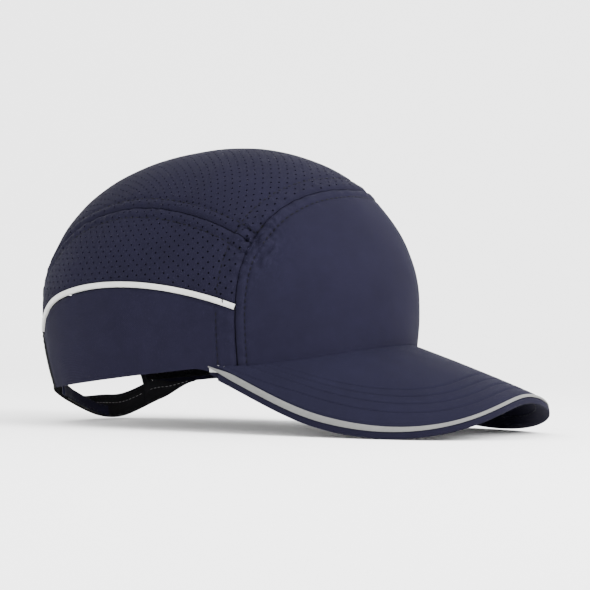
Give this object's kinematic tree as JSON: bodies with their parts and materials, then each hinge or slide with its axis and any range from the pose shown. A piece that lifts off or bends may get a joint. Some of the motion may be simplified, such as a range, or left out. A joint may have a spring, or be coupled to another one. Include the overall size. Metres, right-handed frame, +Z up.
{
  "type": "bump cap",
  "caption": "Low-profile safety cap with a curved brim, perforated crown, reflective piping, adjustable back straps and a removable impact shell.",
  "frame": {"origin": "centre of the bounding box's bottom face, on the table that the cap rests on", "axes": "+Z up from the table, -Y towards the brim's front edge, +X towards the wearer's left; the cap's head opening leans 5.7 degrees, as it does on a table"},
  "size_m": [0.1692, 0.2808, 0.1488],
  "materials": {
    "navy_fabric": "matte navy woven polyester",
    "navy_mesh": "matte navy perforated polyester",
    "reflective_piping": "silver grey reflective piping",
    "black_fabric": "matte black tape and binding",
    "black_terry": "matte black towelling",
    "brim_plastic": "polyethylene sheet",
    "hook_tape": "black nylon hook tape",
    "loop_tape": "black nylon loop tape",
    "shell_abs": "moulded black ABS",
    "foam_pad": "fabric-faced EVA foam",
    "label": "blank white satin label"
  },
  "bodies": {
    "cap": {"front_panel": "navy_fabric", "crown_panel": "navy_mesh", "side_mesh_right": "navy_mesh", "side_mesh_left": "navy_mesh", "side_panel_right": "navy_fabric", "side_panel_left": "navy_fabric", "side_piping_right": "reflective_piping", "side_piping_left": "reflective_piping", "arch_binding": "black_fabric", "front_seam_tape_right": "black_fabric", "front_seam_tape_left": "black_fabric", "crown_seam_tape_right": "black_fabric", "crown_seam_tape_left": "black_fabric", "forehead_seam_tape": "black_fabric", "sweatband": "black_terry", "care_label": "label", "brim_top_cover": "navy_fabric", "brim_board": "brim_plastic", "brim_under_cover": "navy_fabric", "brim_piping": "reflective_piping", "strap_right": "navy_fabric", "loop_patch": "loop_tape", "strap_left_tab": "black_fabric", "crown_loop_dots": "loop_tape"},
    "strap": {"strap_left": "black_fabric", "hook_patch": "hook_tape"},
    "insert": {"bump_shell": "shell_abs", "front_pad": "foam_pad", "side_pad_right": "foam_pad", "side_pad_left": "foam_pad", "rear_pad": "foam_pad", "crown_pad": "foam_pad", "shell_hook_dots": "hook_tape"}
  },
  "joints": [
    {"name": "strap_left_open", "type": "hinge", "parent": "cap", "child": "strap", "pos_m": [0.0436, 0.11454, 0.01684], "axis": [0, -0.0992, -0.9951], "range_deg": [0, 95]},
    {"name": "insert_slide", "type": "slide", "parent": "cap", "child": "insert", "axis": [0, -0.0992, -0.9951], "range_m": [0, 0.12]}
  ]
}
